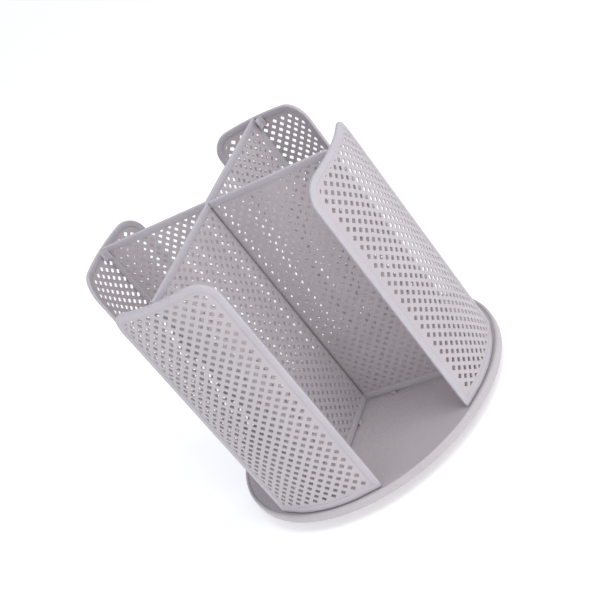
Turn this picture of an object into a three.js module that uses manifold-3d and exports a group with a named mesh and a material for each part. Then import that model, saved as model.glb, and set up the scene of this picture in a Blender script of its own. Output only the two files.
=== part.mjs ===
// Swivel desk organizer: a round tray on a turntable bearing carries two V shaped perforated
// dividers, which stand back to back as a cross, and four curved panels, one at each divider end.
// Millimetres, +Z up. The origin is on the turning axis at the level the feet stand on.
// The dividers run along X and Y. The perforation is left out: the sheets are plain here.
import * as THREE from "three";
import { mergeVertices } from "three/addons/utils/BufferGeometryUtils.js";
import Module from "manifold-3d";

const wasm = await Module();
wasm.setup();

// ---- Driving dimensions ------------------------------------------------------------------
const GAP = 0.3; // between pieces that touch on the real object
const SHEET = 0.8; // thickness of the perforated sheets

// Tray
const TRAY_RADIUS = 97.5;
const TRAY_PLATE = 1.2; // thickness of the sheet it is pressed from
const TRAY_RIM_WIDTH = 2.8; // from where the plate turns up to the outside
const TRAY_RIM_RISE = 0.9; // crown of the rim above the plate
const TRAY_RIM_DROP = 4.7; // lower edge of the rim below the plate's top face
const TRAY_SHOULDER = 1.6; // height of the rim's rounded outer shoulder
const TRAY_BEND = 0.6; // bevel inside the rim, under the plate
const TRAY_LIP = 0.3; // bevel on the rim's lower edge

// Dividers
const DIVIDER_HEIGHT = 174.0; // above the tray's top face
const BEND_RADIUS = 3.0; // middle of the sheet at the hub
const END_CLEAR = 0.5; // between a divider's end and the panel it holds

// Panels
const PANEL_DROP = 0.5; // top of a panel below the tops of the dividers
const PANEL_HALF_ANGLE = 24; // degrees, from the middle of a panel to its upright edge
const PANEL_CORNER = 14.3; // radius of the two upper corners
const PANEL_LIFT = 0.6; // a panel hangs on the dividers, just clear of the tray
const PANEL_CLEAR = 0.5; // between a panel and the tray's raised edge

// Rims: a folded channel around the edge of each sheet
const RIM_WALL = 0.45; // side of the channel
const RIM_DEPTH = 4.2; // how far the channel covers the sheet
const RIM_BACK = 1.0; // solid back of the channel, outside the sheet's edge
const SLOT_CLEAR = 0.25; // between the sheet and the channel, on each side

// Turntable bearing
const BALL_RADIUS = 2.5;
const BALL_COUNT = 12;
const BALL_CLEAR = 0.25; // between a ball and each groove or cage hole
const TRACK_RADIUS = 46; // circle that the balls run on
const RACE_WIDTH = 12;
const RACE_FLOOR = 1.45; // metal under the groove
const RACE_SPACE = 3.2; // between the two rings
const CAGE_THICK = 1.2;
const CAGE_WALL = 1.45; // beside each hole of the cage

// Foot
const FOOT_RADIUS = 70;
const FOOT_PLATE = 1.2;
const FOOT_SKIRT = 3.0; // height of its turned down edge
const FOOT_BEVEL = 0.5; // outer top edge
const BOSS_RADIUS = 15; // raised middle that makes room for the nut
const BOSS_SLOPE = 3; // width of the slope around the boss
const PAD_RADIUS = 6;
const PAD_THICK = 2.0;
const PAD_EDGE = 2.8; // between a pad and the inside of the skirt
const PAD_COUNT = 4;

// Pivot
const STUD_RADIUS = 3.0;
const STUD_HEAD_RADIUS = 7;
const STUD_HEAD_THICK = 1.0;
const STUD_BEVEL = 0.3;
const STUD_SHORT = 0.2; // end of the stud above the nut's lower face
const BUSH_WALL = 1.4;
const BUSH_FLANGE = 2.2; // how far its flange reaches past its wall
const BUSH_FLANGE_THICK = 0.8;
const BUSH_PROUD = 0.6; // how far it stands above the boss
const RUNNING_CLEAR = 0.1; // stud in bush, washer and nut
const WASHER_RADIUS = 7;
const WASHER_THICK = 0.8;
const NUT_ACROSS = 10;
const NUT_THICK = 2.8;
const NUT_CLEAR = 1.4; // nut above the table

// Rivets that hold the lower ring
const RIVET_RADIUS = 1.5;
const RIVET_HEAD_RADIUS = 2.8;
const RIVET_HEAD_THICK = 0.8;
const RIVET_HEAD_BEVEL = 0.5;
const RIVET_EDGE = 0.7; // from the ring's inner edge to a shank
const RIVET_SINK = 1.2; // how far the shank goes into the ring
const RIVET_COUNT = 4;

// Small tabs and clips
const TAB_THICK = 0.8;
const TAB_REACH = 3.3; // along the panel
const TAB_GRIP = 4.6; // along the divider
const TAB_HEIGHT = 7.2;
const TAB_DROP = 0.8; // top of the tab below the top of the panel's rim
const CLIP_DISTANCE = 24; // from the turning axis, along the divider
const CLIP_WIDTH = 3.2;
const CLIP_THICK = 0.8;
const CLIP_RISE = 2.4; // ears above the tray's top face

// Facets
const ROUND = 72; // segments of the tray
const BEARING_ROUND = 40; // segments of the bearing rings and the foot plate
const SMALL_ROUND = 16; // segments of the pivot and the pads
const TINY_ROUND = 10; // segments of rivets and cage holes
const BALL_ROUND = 8; // segments of a ball, and the next is its rows
const BALL_ROWS = 6;
const ARC_STEPS = 10; // steps along a curved panel
const CORNER_STEPS = 5; // steps in a rounded corner or bend

const OVERCUT = 1; // how far a cutting shape reaches past what it cuts

// ---- Levels, from the table up -----------------------------------------------------------
const footUnder = PAD_THICK + GAP;
const footTop = footUnder + FOOT_PLATE;
const grooveRadius = BALL_RADIUS + BALL_CLEAR;
const raceThick = RACE_FLOOR + grooveRadius - RACE_SPACE / 2;
const lowerRaceBottom = footTop + GAP;
const lowerRaceTop = lowerRaceBottom + raceThick;
const ballLevel = lowerRaceTop + RACE_SPACE / 2;
const upperRaceBottom = lowerRaceTop + RACE_SPACE;
const upperRaceTop = upperRaceBottom + raceThick;
const trayUnder = upperRaceTop + GAP;
const trayTop = trayUnder + TRAY_PLATE;

// Nut, washer and the bush's flange are stacked under the boss.
const nutTop = NUT_CLEAR + NUT_THICK;
const washerBottom = nutTop + GAP;
const washerTop = washerBottom + WASHER_THICK;
const flangeBottom = washerTop + GAP;
const bossUnder = flangeBottom + BUSH_FLANGE_THICK + GAP;
const bossTop = bossUnder + FOOT_PLATE;

// ---- Radii and widths, from the tray's edge inwards ----------------------------------------
const rimThick = SHEET + 2 * (SLOT_CLEAR + RIM_WALL); // a channel, measured across the sheet
const trayRimInner = TRAY_RADIUS - TRAY_RIM_WIDTH;
const rimOuterFace = trayRimInner - PANEL_CLEAR; // radius of a panel rim's outer face
const panelRadius = rimOuterFace - rimThick / 2; // middle of the curved sheet
const rimInnerFace = panelRadius - rimThick / 2;
const panelHeight = DIVIDER_HEIGHT - PANEL_DROP; // top of a panel above the tray's top face
const wingEnd = rimInnerFace - END_CLEAR; // where a divider ends, clear of the curved face
// The bends of the two V sheets stand back to back across the turning axis, a gap apart.
const bendCentre = (BEND_RADIUS + SHEET / 2 + GAP / 2) / Math.SQRT2;
const wingMiddle = bendCentre - BEND_RADIUS; // middle plane of a divider wing
const raceInner = TRACK_RADIUS - RACE_WIDTH / 2;
const raceOuter = TRACK_RADIUS + RACE_WIDTH / 2;
const rivetCircle = raceInner + RIVET_EDGE + RIVET_RADIUS;
const padCircle = FOOT_RADIUS - FOOT_PLATE - PAD_EDGE - PAD_RADIUS;

const SIDES = ["right", "rear", "left", "front"]; // at 0, 90, 180 and 270 degrees
const QUARTER = Math.PI / 2;
const radians = THREE.MathUtils.degToRad;

// ---- Solids ------------------------------------------------------------------------------
function toSolid(geometry) {
  const bare = geometry.clone();
  bare.deleteAttribute("normal");
  bare.deleteAttribute("uv");
  const merged = mergeVertices(bare, 1e-4);
  return new wasm.Manifold(
    new wasm.Mesh({
      numProp: 3,
      vertProperties: new Float32Array(merged.attributes.position.array),
      triVerts: new Uint32Array(merged.index.array),
    }),
  );
}

function toGeometry(solid) {
  const mesh = solid.getMesh();
  const geometry = new THREE.BufferGeometry();
  geometry.setAttribute("position", new THREE.BufferAttribute(new Float32Array(mesh.vertProperties), 3));
  geometry.setIndex(new THREE.BufferAttribute(new Uint32Array(mesh.triVerts), 1));
  geometry.computeVertexNormals();
  return geometry;
}

// A flat outline made into a plate that stands from bottom to top.
function plate(shape, bottom, top, curveSegments = CORNER_STEPS) {
  const geometry = new THREE.ExtrudeGeometry(shape, {
    depth: top - bottom,
    bevelEnabled: false,
    curveSegments,
  });
  return geometry.translate(0, 0, bottom);
}

// A round solid from radius and height pairs, given anticlockwise in the half plane.
function turned(points, segments) {
  const profile = points.map(([r, z]) => new THREE.Vector2(r, z));
  profile.push(profile[0].clone());
  return new THREE.LatheGeometry(profile, segments).rotateX(QUARTER);
}

function rod(radius, bottom, top, segments = SMALL_ROUND) {
  const geometry = new THREE.CylinderGeometry(radius, radius, top - bottom, segments);
  return geometry.rotateX(QUARTER).translate(0, 0, (top + bottom) / 2);
}

function block(lowX, highX, lowY, highY, lowZ, highZ) {
  const geometry = new THREE.BoxGeometry(highX - lowX, highY - lowY, highZ - lowZ);
  return geometry.translate((lowX + highX) / 2, (lowY + highY) / 2, (lowZ + highZ) / 2);
}

// ---- Curved panels -----------------------------------------------------------------------
const wallSpare = radians(3); // how much wider a wall is than the panel cut out of it

// Part of an upright cylinder wall around +X, wider than a panel.
function cylinderWall(inner, outer) {
  const reach = radians(PANEL_HALF_ANGLE) + wallSpare;
  const sector = new THREE.Shape();
  sector.absarc(0, 0, outer, -reach, reach, false);
  sector.absarc(0, 0, inner, reach, -reach, true);
  sector.closePath();
  const bottom = trayTop - OVERCUT;
  const top = trayTop + panelHeight + OVERCUT;
  return toSolid(plate(sector, bottom, top, ARC_STEPS));
}

// The panel's outline seen from the side, pulled in by inset all round, as a block that cuts
// the wall. Its width is the chord of the panel, and its lower corners are square.
function panelOutline(inset) {
  const half = panelRadius * Math.sin(radians(PANEL_HALF_ANGLE)) - inset;
  const low = trayTop + PANEL_LIFT + inset;
  const high = trayTop + panelHeight - inset;
  const corner = PANEL_CORNER - inset;
  const shape = new THREE.Shape();
  shape.moveTo(-half, low);
  shape.lineTo(half, low);
  shape.absarc(half - corner, high - corner, corner, 0, QUARTER, false);
  shape.absarc(-half + corner, high - corner, corner, QUARTER, 2 * QUARTER, false);
  shape.closePath();
  const near = (panelRadius - rimThick) * Math.cos(radians(PANEL_HALF_ANGLE) + wallSpare);
  const geometry = plate(shape, near - OVERCUT, TRAY_RADIUS, CORNER_STEPS);
  // Outline x becomes +Y, outline y becomes +Z and the depth becomes +X.
  geometry.rotateX(QUARTER).rotateZ(QUARTER);
  return toSolid(geometry);
}

function panelSheet() {
  const wall = cylinderWall(panelRadius - SHEET / 2, panelRadius + SHEET / 2);
  return toGeometry(wall.intersect(panelOutline(RIM_BACK)));
}

function panelRim() {
  const wall = cylinderWall(rimInnerFace, panelRadius + rimThick / 2);
  const frame = wall.intersect(panelOutline(0)).subtract(panelOutline(RIM_DEPTH));
  const slotHalf = SHEET / 2 + SLOT_CLEAR;
  const slotWall = cylinderWall(panelRadius - slotHalf, panelRadius + slotHalf);
  return toGeometry(frame.subtract(slotWall.intersect(panelOutline(RIM_BACK - SLOT_CLEAR))));
}

// ---- Dividers ----------------------------------------------------------------------------
// A V of two wings, along +X and +Y, joined by a bend at the hub.
function vBand(thick, endInset, bottom, top) {
  const end = wingEnd - endInset;
  const outer = wingMiddle - thick / 2;
  const inner = wingMiddle + thick / 2;
  const shape = new THREE.Shape();
  shape.moveTo(end, inner);
  shape.lineTo(bendCentre, inner);
  shape.absarc(bendCentre, bendCentre, BEND_RADIUS - thick / 2, 3 * QUARTER, 2 * QUARTER, true);
  shape.lineTo(inner, end);
  shape.lineTo(outer, end);
  shape.lineTo(outer, bendCentre);
  shape.absarc(bendCentre, bendCentre, BEND_RADIUS + thick / 2, 2 * QUARTER, 3 * QUARTER, false);
  shape.lineTo(end, outer);
  shape.closePath();
  return toSolid(plate(shape, bottom, top, CORNER_STEPS));
}

const dividerBottom = trayTop + GAP;
const dividerTop = trayTop + DIVIDER_HEIGHT;

function dividerSheet() {
  return toGeometry(vBand(SHEET, RIM_BACK, dividerBottom + RIM_BACK, dividerTop - RIM_BACK));
}

function dividerRim() {
  const frame = vBand(rimThick, 0, dividerBottom, dividerTop);
  const window = vBand(
    rimThick + OVERCUT,
    RIM_DEPTH,
    dividerBottom + RIM_DEPTH,
    dividerTop - RIM_DEPTH,
  );
  const slotInset = RIM_BACK - SLOT_CLEAR;
  const slot = vBand(
    SHEET + 2 * SLOT_CLEAR,
    slotInset,
    dividerBottom + slotInset,
    dividerTop - slotInset,
  );
  // Behind the bend the rim is cut flat, so that the two Vs can stand back to back.
  const reach = 2 * (BEND_RADIUS + rimThick);
  const low = dividerBottom - OVERCUT;
  const hubCut = block(-reach, GAP / 2, -reach, reach, low, dividerTop + OVERCUT);
  hubCut.rotateZ(QUARTER / 2);
  return toGeometry(frame.subtract(window).subtract(slot).subtract(toSolid(hubCut)));
}

// ---- Tabs and clips, drawn for the divider wing along +X -----------------------------------
// An L between the divider's end and the panel's rim. It lies on the wing's side named by
// side: +1 or -1 in Y.
function panelTab(side) {
  const face = side * wingMiddle + rimThick / 2 + GAP; // first face of the tab, away from the wing
  const panelFace = wingEnd;
  const shape = new THREE.Shape();
  shape.moveTo(panelFace - TAB_GRIP, face);
  shape.lineTo(panelFace, face);
  const lean = panelFace - Math.sqrt(panelFace ** 2 - (face + TAB_REACH) ** 2); // follows the panel
  shape.lineTo(panelFace - lean, face + TAB_REACH);
  shape.lineTo(panelFace - lean - TAB_THICK, face + TAB_REACH);
  shape.lineTo(panelFace - TAB_THICK, face + TAB_THICK);
  shape.lineTo(panelFace - TAB_GRIP, face + TAB_THICK);
  shape.closePath();
  const top = trayTop + panelHeight - TAB_DROP;
  const geometry = plate(shape, top - TAB_HEIGHT, top);
  return side > 0 ? geometry : toGeometry(toSolid(geometry).mirror([0, 1, 0]));
}

const clipEarInner = rimThick / 2 + GAP; // from the wing's middle plane to an ear

// A staple under the tray whose two ears come up through slots and grip the divider's rim.
function floorClip(side) {
  const middle = side * wingMiddle;
  const low = trayUnder - GAP - CLIP_THICK;
  const high = trayTop + CLIP_RISE;
  const outside = clipEarInner + CLIP_THICK;
  const shape = new THREE.Shape();
  shape.moveTo(middle - outside, low);
  shape.lineTo(middle + outside, low);
  shape.lineTo(middle + outside, high);
  shape.lineTo(middle + clipEarInner, high);
  shape.lineTo(middle + clipEarInner, low + CLIP_THICK);
  shape.lineTo(middle - clipEarInner, low + CLIP_THICK);
  shape.lineTo(middle - clipEarInner, high);
  shape.lineTo(middle - outside, high);
  shape.closePath();
  const geometry = plate(shape, CLIP_DISTANCE - CLIP_WIDTH / 2, CLIP_DISTANCE + CLIP_WIDTH / 2);
  return geometry.rotateX(QUARTER).rotateZ(QUARTER);
}

// The slots in the tray for one clip.
function clipSlots(side) {
  const half = CLIP_WIDTH / 2 + GAP;
  const middle = side * wingMiddle;
  const near = clipEarInner - GAP;
  const far = clipEarInner + CLIP_THICK + GAP;
  const low = trayUnder - OVERCUT;
  const high = trayTop + OVERCUT;
  const from = CLIP_DISTANCE - half;
  const to = CLIP_DISTANCE + half;
  return [
    toSolid(block(from, to, middle + near, middle + far, low, high)),
    toSolid(block(from, to, middle - far, middle - near, low, high)),
  ];
}

// ---- Tray --------------------------------------------------------------------------------
// Side of the wing's middle plane at each of the four divider ends.
const wingSide = (index) => (index % 2 === 0 ? 1 : -1);

function tray() {
  const crown = trayTop + TRAY_RIM_RISE;
  const foot = trayTop - TRAY_RIM_DROP;
  const shoulder = TRAY_RIM_WIDTH / 2; // half width of the rim's rounded top
  const profile = [
    [0, trayUnder],
    [TRAY_RADIUS - TRAY_PLATE - TRAY_BEND, trayUnder],
    [TRAY_RADIUS - TRAY_PLATE, trayUnder - TRAY_BEND],
    [TRAY_RADIUS - TRAY_PLATE, foot],
    [TRAY_RADIUS - TRAY_LIP, foot],
    [TRAY_RADIUS, foot + TRAY_LIP],
  ];
  for (let i = 0; i <= CORNER_STEPS; i++) {
    const turn = (i / CORNER_STEPS) * 2 * QUARTER;
    const middle = trayRimInner + shoulder;
    const rise = turn < QUARTER ? TRAY_SHOULDER : TRAY_RIM_RISE;
    profile.push([middle + shoulder * Math.cos(turn), crown - rise + rise * Math.sin(turn)]);
  }
  profile.push([0, trayTop]);
  let solid = toSolid(turned(profile, ROUND));
  for (let i = 0; i < 4; i++) {
    for (const slot of clipSlots(wingSide(i))) {
      solid = solid.subtract(slot.rotate([0, 0, 90 * i]));
    }
  }
  return toGeometry(solid);
}

// ---- Bearing -----------------------------------------------------------------------------
// A flat ring with a groove for the balls in the face towards them. The groove's middle is at
// ballLevel and its arc is cut off by the ring's face.
function race(bottom, top, grooveFace) {
  const halfTurn = Math.acos(Math.abs(grooveFace - ballLevel) / grooveRadius);
  const away = Math.sign(grooveFace - ballLevel);
  const arc = [];
  for (let i = 0; i <= CORNER_STEPS; i++) {
    const turn = -halfTurn + (2 * halfTurn * i) / CORNER_STEPS;
    const reach = grooveRadius * Math.sin(turn);
    arc.push([TRACK_RADIUS + reach, ballLevel + away * grooveRadius * Math.cos(turn)]);
  }
  const grooveOnTop = grooveFace === top;
  const profile = grooveOnTop
    ? [[raceInner, bottom], [raceOuter, bottom], [raceOuter, top], ...arc.reverse(), [raceInner, top]]
    : [[raceInner, bottom], ...arc, [raceOuter, bottom], [raceOuter, top], [raceInner, top]];
  return turned(profile, BEARING_ROUND);
}

function ballPlace(index) {
  const angle = (index / BALL_COUNT) * 2 * Math.PI;
  return new THREE.Vector3(TRACK_RADIUS * Math.cos(angle), TRACK_RADIUS * Math.sin(angle), ballLevel);
}

function cage() {
  const hole = grooveRadius; // the balls have the same clearance here as in the grooves
  const inner = TRACK_RADIUS - hole - CAGE_WALL;
  const outer = TRACK_RADIUS + hole + CAGE_WALL;
  const low = ballLevel - CAGE_THICK / 2;
  const high = ballLevel + CAGE_THICK / 2;
  let solid = toSolid(turned([[inner, low], [outer, low], [outer, high], [inner, high]], BEARING_ROUND));
  for (let i = 0; i < BALL_COUNT; i++) {
    const drill = rod(hole, low - OVERCUT, high + OVERCUT, TINY_ROUND);
    const place = ballPlace(i);
    drill.translate(place.x, place.y, 0);
    solid = solid.subtract(toSolid(drill));
  }
  return toGeometry(solid);
}

// ---- Foot --------------------------------------------------------------------------------
// The rivets stand between the pads, so that their heads stay clear of them.
const rivetAngle = (index) => (index / RIVET_COUNT) * 2 * Math.PI;
const padAngle = (index) => ((index + 1 / 2) / PAD_COUNT) * 2 * Math.PI;

function rivetHoles(solid, bottom, top) {
  let drilled = solid;
  for (let i = 0; i < RIVET_COUNT; i++) {
    const drill = rod(RIVET_RADIUS + GAP, bottom, top, TINY_ROUND);
    drill.translate(rivetCircle, 0, 0).rotateZ(rivetAngle(i));
    drilled = drilled.subtract(toSolid(drill));
  }
  return drilled;
}

function footPlate() {
  const skirtInner = FOOT_RADIUS - FOOT_PLATE;
  const skirtLow = footTop - FOOT_SKIRT;
  const slopeEnd = BOSS_RADIUS + BOSS_SLOPE;
  const slopeLean = FOOT_PLATE / 2; // keeps the wall about as thick along the slope
  const hole = STUD_RADIUS + RUNNING_CLEAR + BUSH_WALL + GAP;
  const profile = [
    [hole, bossUnder],
    [BOSS_RADIUS - slopeLean, bossUnder],
    [slopeEnd - slopeLean, footUnder],
    [skirtInner, footUnder],
    [skirtInner, skirtLow],
    [FOOT_RADIUS, skirtLow],
    [FOOT_RADIUS, footTop - FOOT_BEVEL],
    [FOOT_RADIUS - FOOT_BEVEL, footTop],
    [slopeEnd, footTop],
    [BOSS_RADIUS, bossTop],
    [hole, bossTop],
  ];
  const solid = toSolid(turned(profile, BEARING_ROUND));
  return toGeometry(rivetHoles(solid, footUnder - OVERCUT, footTop + OVERCUT));
}

function lowerRace() {
  const solid = toSolid(race(lowerRaceBottom, lowerRaceTop, lowerRaceTop));
  const holeTop = lowerRaceBottom + RIVET_SINK + GAP;
  return toGeometry(rivetHoles(solid, lowerRaceBottom - OVERCUT, holeTop));
}

function rivet() {
  const headTop = footUnder - GAP;
  return turned(
    [
      [0, headTop - RIVET_HEAD_THICK],
      [RIVET_HEAD_RADIUS - RIVET_HEAD_BEVEL, headTop - RIVET_HEAD_THICK],
      [RIVET_HEAD_RADIUS, headTop],
      [RIVET_RADIUS, headTop],
      [RIVET_RADIUS, lowerRaceBottom + RIVET_SINK],
      [0, lowerRaceBottom + RIVET_SINK],
    ],
    TINY_ROUND,
  );
}

// ---- Pivot -------------------------------------------------------------------------------
function pivotStud() {
  const headTop = trayUnder - GAP;
  const end = NUT_CLEAR + STUD_SHORT;
  return turned(
    [
      [0, end],
      [STUD_RADIUS - STUD_BEVEL, end],
      [STUD_RADIUS, end + STUD_BEVEL],
      [STUD_RADIUS, headTop - STUD_HEAD_THICK],
      [STUD_HEAD_RADIUS, headTop - STUD_HEAD_THICK],
      [STUD_HEAD_RADIUS, headTop],
      [0, headTop],
    ],
    SMALL_ROUND,
  );
}

function pivotBush() {
  const bore = STUD_RADIUS + RUNNING_CLEAR;
  const wall = bore + BUSH_WALL;
  const flange = wall + BUSH_FLANGE;
  const flangeTop = flangeBottom + BUSH_FLANGE_THICK;
  const top = bossTop + BUSH_PROUD;
  return turned(
    [
      [bore, flangeBottom],
      [flange, flangeBottom],
      [flange, flangeTop],
      [wall, flangeTop],
      [wall, top],
      [bore, top],
    ],
    SMALL_ROUND,
  );
}

function washer() {
  const bore = STUD_RADIUS + RUNNING_CLEAR;
  const lower = [[bore, washerBottom], [WASHER_RADIUS, washerBottom]];
  const upper = [[WASHER_RADIUS, washerTop], [bore, washerTop]];
  return turned([...lower, ...upper], SMALL_ROUND);
}

function lockNut() {
  const hex = toSolid(rod(NUT_ACROSS / Math.sqrt(3), NUT_CLEAR, nutTop, 6));
  const bore = toSolid(rod(STUD_RADIUS + RUNNING_CLEAR, NUT_CLEAR - OVERCUT, nutTop + OVERCUT));
  return toGeometry(hex.subtract(bore));
}

// ---- Materials ---------------------------------------------------------------------------
const COLOURS = {
  lilacPaint: { color: 0xc9c5cf, roughness: 0.5, metalness: 0.15 },
  steel: { color: 0xb4b6ba, roughness: 0.35, metalness: 0.9 },
  zinc: { color: 0xa9abae, roughness: 0.45, metalness: 0.8 },
  nylon: { color: 0xe8e6e0, roughness: 0.5, metalness: 0 },
  rubber: { color: 0x2b2b2d, roughness: 0.85, metalness: 0 },
};

function piece(name, geometry, look, turn = 0) {
  const mesh = new THREE.Mesh(geometry, new THREE.MeshStandardMaterial(COLOURS[look]));
  mesh.name = name;
  mesh.rotation.z = turn;
  return mesh;
}

// ---- Assembly ----------------------------------------------------------------------------
function carousel() {
  const group = new THREE.Group();
  group.add(piece("tray", tray(), "lilacPaint"));
  SIDES.forEach((side, i) => {
    const turn = i * QUARTER;
    group.add(piece(`panel_sheet_${side}`, panelSheet(), "lilacPaint", turn));
    group.add(piece(`panel_rim_${side}`, panelRim(), "lilacPaint", turn));
    group.add(piece(`panel_tab_${side}`, panelTab(wingSide(i)), "lilacPaint", turn));
    group.add(piece(`floor_clip_${side}`, floorClip(wingSide(i)), "lilacPaint", turn));
  });
  ["rear_right", "front_left"].forEach((corner, i) => {
    const turn = i * 2 * QUARTER;
    group.add(piece(`divider_sheet_${corner}`, dividerSheet(), "lilacPaint", turn));
    group.add(piece(`divider_rim_${corner}`, dividerRim(), "lilacPaint", turn));
  });
  group.add(piece("bearing_race_upper", race(upperRaceBottom, upperRaceTop, upperRaceBottom), "zinc"));
  group.add(piece("pivot_stud", pivotStud(), "zinc"));
  group.add(piece("pivot_washer", washer(), "zinc"));
  group.add(piece("pivot_lock_nut", lockNut(), "zinc"));
  return group;
}

function ballCage() {
  const group = new THREE.Group();
  group.add(piece("ball_cage", cage(), "nylon"));
  for (let i = 0; i < BALL_COUNT; i++) {
    const sphere = new THREE.SphereGeometry(BALL_RADIUS, BALL_ROUND, BALL_ROWS);
    const ball = piece(`bearing_ball_${i + 1}`, sphere, "steel");
    ball.position.copy(ballPlace(i));
    group.add(ball);
  }
  return group;
}

function foot() {
  const group = new THREE.Group();
  group.add(piece("foot_plate", footPlate(), "lilacPaint"));
  group.add(piece("bearing_race_lower", lowerRace(), "zinc"));
  group.add(piece("pivot_bush", pivotBush(), "nylon"));
  for (let i = 0; i < PAD_COUNT; i++) {
    const angle = padAngle(i);
    const pad = piece(`foot_pad_${i + 1}`, rod(PAD_RADIUS, 0, PAD_THICK), "rubber");
    pad.position.set(padCircle * Math.cos(angle), padCircle * Math.sin(angle), 0);
    group.add(pad);
  }
  for (let i = 0; i < RIVET_COUNT; i++) {
    const angle = rivetAngle(i);
    const fastener = piece(`race_rivet_${i + 1}`, rivet(), "zinc");
    fastener.position.set(rivetCircle * Math.cos(angle), rivetCircle * Math.sin(angle), 0);
    group.add(fastener);
  }
  return group;
}

const organizer = new THREE.Group();
organizer.add(carousel(), ballCage(), foot());

export default organizer;
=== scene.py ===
"""Looks of the swivel desk organizer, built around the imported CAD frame.

Lengths in this script are millimetres in the shared frame until a mesh is made, where MM turns them
into metres. The turning axis is Z, the dividers run along X and Y, and a panel stands at each end.
"""
import math

import bmesh
import bpy
import numpy as np
from mathutils import Matrix, Vector
from mathutils.geometry import delaunay_2d_cdt


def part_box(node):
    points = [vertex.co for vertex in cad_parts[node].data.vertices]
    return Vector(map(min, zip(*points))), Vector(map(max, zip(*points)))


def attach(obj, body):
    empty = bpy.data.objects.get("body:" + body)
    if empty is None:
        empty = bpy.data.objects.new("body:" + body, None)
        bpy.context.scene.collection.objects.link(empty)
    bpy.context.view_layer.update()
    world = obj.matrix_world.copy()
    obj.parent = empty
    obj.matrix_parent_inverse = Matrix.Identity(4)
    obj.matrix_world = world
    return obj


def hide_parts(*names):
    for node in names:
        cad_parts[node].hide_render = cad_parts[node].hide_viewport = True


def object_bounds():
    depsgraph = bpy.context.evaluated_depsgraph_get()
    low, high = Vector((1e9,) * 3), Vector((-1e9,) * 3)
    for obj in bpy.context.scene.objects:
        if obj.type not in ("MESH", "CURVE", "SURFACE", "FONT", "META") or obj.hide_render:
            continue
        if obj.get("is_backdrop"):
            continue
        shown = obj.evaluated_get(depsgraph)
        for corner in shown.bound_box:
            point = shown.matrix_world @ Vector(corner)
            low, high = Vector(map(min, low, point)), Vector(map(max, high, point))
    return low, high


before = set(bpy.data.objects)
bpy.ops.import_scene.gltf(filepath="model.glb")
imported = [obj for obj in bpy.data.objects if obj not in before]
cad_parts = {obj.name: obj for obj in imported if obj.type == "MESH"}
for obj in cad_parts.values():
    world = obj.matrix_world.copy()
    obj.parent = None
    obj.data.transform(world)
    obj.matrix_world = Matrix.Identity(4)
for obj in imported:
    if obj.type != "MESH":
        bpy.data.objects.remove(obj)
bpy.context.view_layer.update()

MM = 0.001
SIDES = ["right", "rear", "left", "front"]  # at 0, 90, 180 and 270 degrees
CORNERS = ["rear_right", "front_left"]
QUARTER = math.pi / 2


def box_mm(node):
    low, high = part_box(node)
    return low / MM, high / MM


# ---- Sizes ---------------------------------------------------------------------------------
SHEET = 0.8
RIM_THICK = 2.2
RIM_DEPTH = 4.2  # how far the hem covers the sheet
RIM_ROUND = 0.75
RIM_BACK = 1.0  # from the hem's outside to the sheet's edge in it
RIM_LIP = 0.38  # thickness of the hem where it ends on the sheet
BEND_RADIUS = 4.2  # middle of a divider's sheet at the hub
BEND_STEPS = 6  # on each side of the hub
PANEL_CORNER = 15.0
DIVIDER_CORNER = 1.6
LOWER_CORNER = 1.4  # of a panel
DIVIDER_LIFT = 1.5  # the clips hold the dividers this much further off the tray
HALF_SLIT = 0.004  # half the gap between the two Vs

PANEL_HOLE = 2.65
DIVIDER_HOLE = 2.45
PANEL_PITCH = 4.95
DIVIDER_PITCH = 4.87
HOLE_ROUND = 0.3  # cut off each corner of a hole, along its sides
HOLE_CHAMFER = 0.12
FIELD_MARGIN = 6.3  # from the outside of a panel's rim to its perforated field
DIVIDER_MARGIN = 5.0
HUB_MARGIN = 3.1  # from the turning axis to the perforated field of a wing
# One hole's centre: its distance from a panel's middle, and its height over the panel's middle.
PANEL_PHASE = {"right": (-1.6, 0.55), "rear": (3.2, 0.9), "left": (2.8, 1.5), "front": (-0.85, 2.0)}
PANEL_SHIFT = {"right": 1.6}  # how far a panel stands off its place, along the arc
PANEL_EXTRA = {"right": 0.9}  # how much wider a panel's border is along its first upright edge
# The same for the wings, with the distance from the turning axis: along X, then along Y.
WING_PHASE = {"rear_right": ((2.6, 2.8), (1.6, 1.4)), "front_left": ((4.8, 2.4), (6.4, 2.4))}
LEAST_HOLE = 0.08  # share of a full hole under which a clipped one is left out
LEAST_SIDE = 0.12  # a clipped hole's corners closer than this become one

OUTLINE_STEP = 3.0  # between the points along a hem's straight edges
CORNER_STEP = 1.2  # radius of a corner for each of its steps
LEAST_RADIUS = 0.08  # of a corner that is pulled in past its own radius
LEAST_CORNER = 4  # what the points of an upright edge leave free at a smaller corner
CORNER_CLEAR, RISE_CLEAR = 0.5, 0.6
HUB_ROW = 4  # between rows of points along the bend
HUB_ROW_CLEAR = 1.5
tray_low, tray_high = box_mm("tray")
TRAY_RADIUS = tray_high.x
TRAY_RISE = 0.9  # of the tray's crown over its floor
TRAY_PLATE = 1.2
TRAY_SEGMENTS = 288
tray_top = tray_high.z - TRAY_RISE
tray_under = tray_top - TRAY_PLATE

rim_low, rim_high = box_mm("panel_rim_right")
PANEL_RADIUS = rim_high.x - RIM_THICK / 2
PANEL_HALF = math.radians(24)
v_low, v_high = box_mm("divider_rim_rear_right")
WING_END = v_high.x
bend_centre = (BEND_RADIUS + SHEET / 2 + 0.005) / math.sqrt(2)
wing_middle = bend_centre - BEND_RADIUS
bend_length = BEND_RADIUS * QUARTER
WING_LENGTH = WING_END - bend_centre + bend_length / 2
WING_SIDE = [1, -1, 1, -1]  # the side of the axis on which each wing's middle plane lies


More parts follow.
